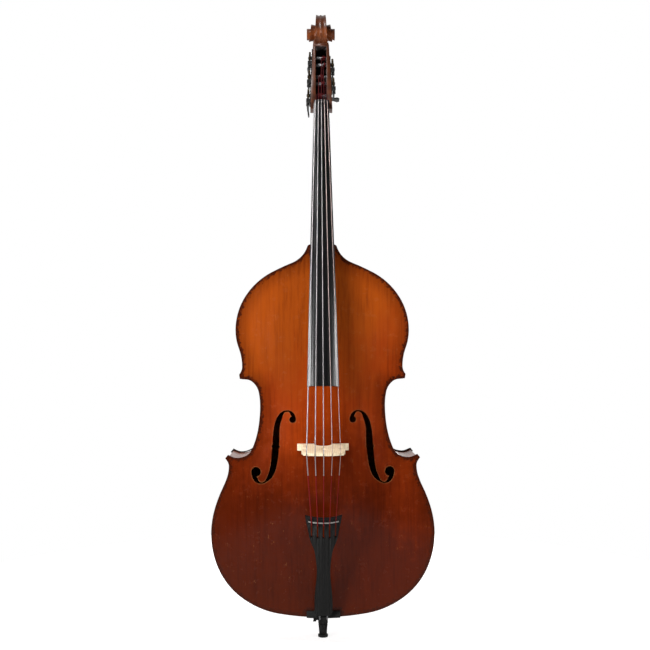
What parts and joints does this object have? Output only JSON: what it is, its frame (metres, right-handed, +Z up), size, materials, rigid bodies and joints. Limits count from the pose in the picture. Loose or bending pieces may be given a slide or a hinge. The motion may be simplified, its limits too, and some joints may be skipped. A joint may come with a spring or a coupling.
{
  "type": "double bass",
  "caption": "Upright double bass with carved arched plates, cornered ribs, scroll, worm-geared tuning machines, bridge, tailpiece and sliding endpin",
  "frame": {"origin": "centre of the rubber foot's underside, where the endpin with its rod in meets the floor", "axes": "+Z up along the endpin and the centre line of the front, front (strings) facing -Y, +X to the viewer's right (the treble side)"},
  "size_m": [0.67, 0.4199, 1.9429],
  "materials": {
    "front_varnish": "glossy orange-brown varnish over spruce",
    "back_varnish": "glossy red-brown varnish over maple",
    "neck_wood": "satin brown varnish over maple",
    "ebony": "satin black",
    "bridge_maple": "bare pale maple",
    "inner_spruce": "bare spruce",
    "string_steel": "wound steel",
    "wire_steel": "stranded steel wire",
    "black_metal": "satin black",
    "gear_brass": "dulled brass",
    "white_inlay": "pale bone-like strip",
    "rod_steel": "polished steel",
    "foot_rubber": "matt black rubber"
  },
  "bodies": {
    "bass_body": {"front_plate": "front_varnish", "back_plate": "back_varnish", "lower_rib_bass": "back_varnish", "lower_rib_treble": "back_varnish", "middle_rib_bass": "back_varnish", "middle_rib_treble": "back_varnish", "upper_rib_bass": "back_varnish", "upper_rib_treble": "back_varnish", "tuner_plates": "black_metal", "front_linings": "inner_spruce", "back_linings": "inner_spruce", "upper_corner_blocks": "inner_spruce", "lower_corner_blocks": "inner_spruce", "neck_block": "inner_spruce", "end_block": "inner_spruce", "bass_bar": "inner_spruce", "sound_post": "inner_spruce", "neck": "neck_wood", "fingerboard": "ebony", "nut": "ebony", "saddle": "ebony", "tailpiece": "ebony", "bridge": "bridge_maple", "tailpiece_fret": "white_inlay", "tail_wire": "wire_steel", "endpin_plug": "black_metal", "endpin_ferrule": "black_metal", "string_b": "string_steel", "string_e": "string_steel", "string_a": "string_steel", "string_d": "string_steel", "string_g": "string_steel"},
    "roller_b": {"tuner_b_roller": "rod_steel", "tuner_b_gear": "gear_brass"},
    "key_b": {"tuner_b_key": "black_metal"},
    "roller_e": {"tuner_e_roller": "rod_steel", "tuner_e_gear": "gear_brass"},
    "key_e": {"tuner_e_key": "black_metal"},
    "roller_a": {"tuner_a_roller": "rod_steel", "tuner_a_gear": "gear_brass"},
    "key_a": {"tuner_a_key": "black_metal"},
    "roller_d": {"tuner_d_roller": "rod_steel", "tuner_d_gear": "gear_brass"},
    "key_d": {"tuner_d_key": "black_metal"},
    "roller_g": {"tuner_g_roller": "rod_steel", "tuner_g_gear": "gear_brass"},
    "key_g": {"tuner_g_key": "black_metal"},
    "endpin": {"endpin_rod": "rod_steel", "endpin_foot": "foot_rubber"},
    "thumbscrew": {"endpin_thumbscrew": "black_metal"}
  },
  "joints": [
    {"name": "roller_b_turn", "type": "hinge", "parent": "bass_body", "child": "roller_b", "pos_m": [-0.03183, -0.05776, 1.67501], "axis": [-0.9991, 0.0069, 0.0411], "continuous": true},
    {"name": "key_b_turn", "type": "hinge", "parent": "bass_body", "child": "key_b", "pos_m": [-0.04115, -0.06137, 1.65348], "axis": [0, 0.9863, -0.165], "continuous": true},
    {"name": "roller_e_turn", "type": "hinge", "parent": "bass_body", "child": "roller_e", "pos_m": [-0.02921, -0.04737, 1.73714], "axis": [-0.9991, 0.0069, 0.0411], "continuous": true},
    {"name": "key_e_turn", "type": "hinge", "parent": "bass_body", "child": "key_e", "pos_m": [-0.03852, -0.05097, 1.71561], "axis": [0, 0.9863, -0.165], "continuous": true},
    {"name": "roller_a_turn", "type": "hinge", "parent": "bass_body", "child": "roller_a", "pos_m": [-0.02658, -0.03697, 1.79928], "axis": [-0.9991, 0.0069, 0.0411], "continuous": true},
    {"name": "key_a_turn", "type": "hinge", "parent": "bass_body", "child": "key_a", "pos_m": [-0.0359, -0.04057, 1.77775], "axis": [0, 0.9863, -0.165], "continuous": true},
    {"name": "roller_d_turn", "type": "hinge", "parent": "bass_body", "child": "roller_d", "pos_m": [0.02754, -0.04077, 1.77659], "axis": [0.9991, 0.0069, 0.0411], "continuous": true},
    {"name": "key_d_turn", "type": "hinge", "parent": "bass_body", "child": "key_d", "pos_m": [0.03686, -0.04437, 1.75506], "axis": [0, 0.9863, -0.165], "continuous": true},
    {"name": "roller_g_turn", "type": "hinge", "parent": "bass_body", "child": "roller_g", "pos_m": [0.03017, -0.05116, 1.71446], "axis": [0.9991, 0.0069, 0.0411], "continuous": true},
    {"name": "key_g_turn", "type": "hinge", "parent": "bass_body", "child": "key_g", "pos_m": [0.03948, -0.05477, 1.69293], "axis": [0, 0.9863, -0.165], "continuous": true},
    {"name": "endpin_slide", "type": "slide", "parent": "bass_body", "child": "endpin", "axis": [0, 0, -1], "range_m": [0, 0.4]},
    {"name": "thumbscrew_turn", "type": "hinge", "parent": "bass_body", "child": "thumbscrew", "pos_m": [-0.02, 0, 0.053], "axis": [-1, 0, 0], "range_deg": [0, 360]}
  ],
  "couplings": [
    {"joint": "key_b_turn", "follows": "roller_b_turn", "ratio": 20},
    {"joint": "key_e_turn", "follows": "roller_e_turn", "ratio": 20},
    {"joint": "key_a_turn", "follows": "roller_a_turn", "ratio": 20},
    {"joint": "key_d_turn", "follows": "roller_d_turn", "ratio": -20},
    {"joint": "key_g_turn", "follows": "roller_g_turn", "ratio": -20}
  ]
}
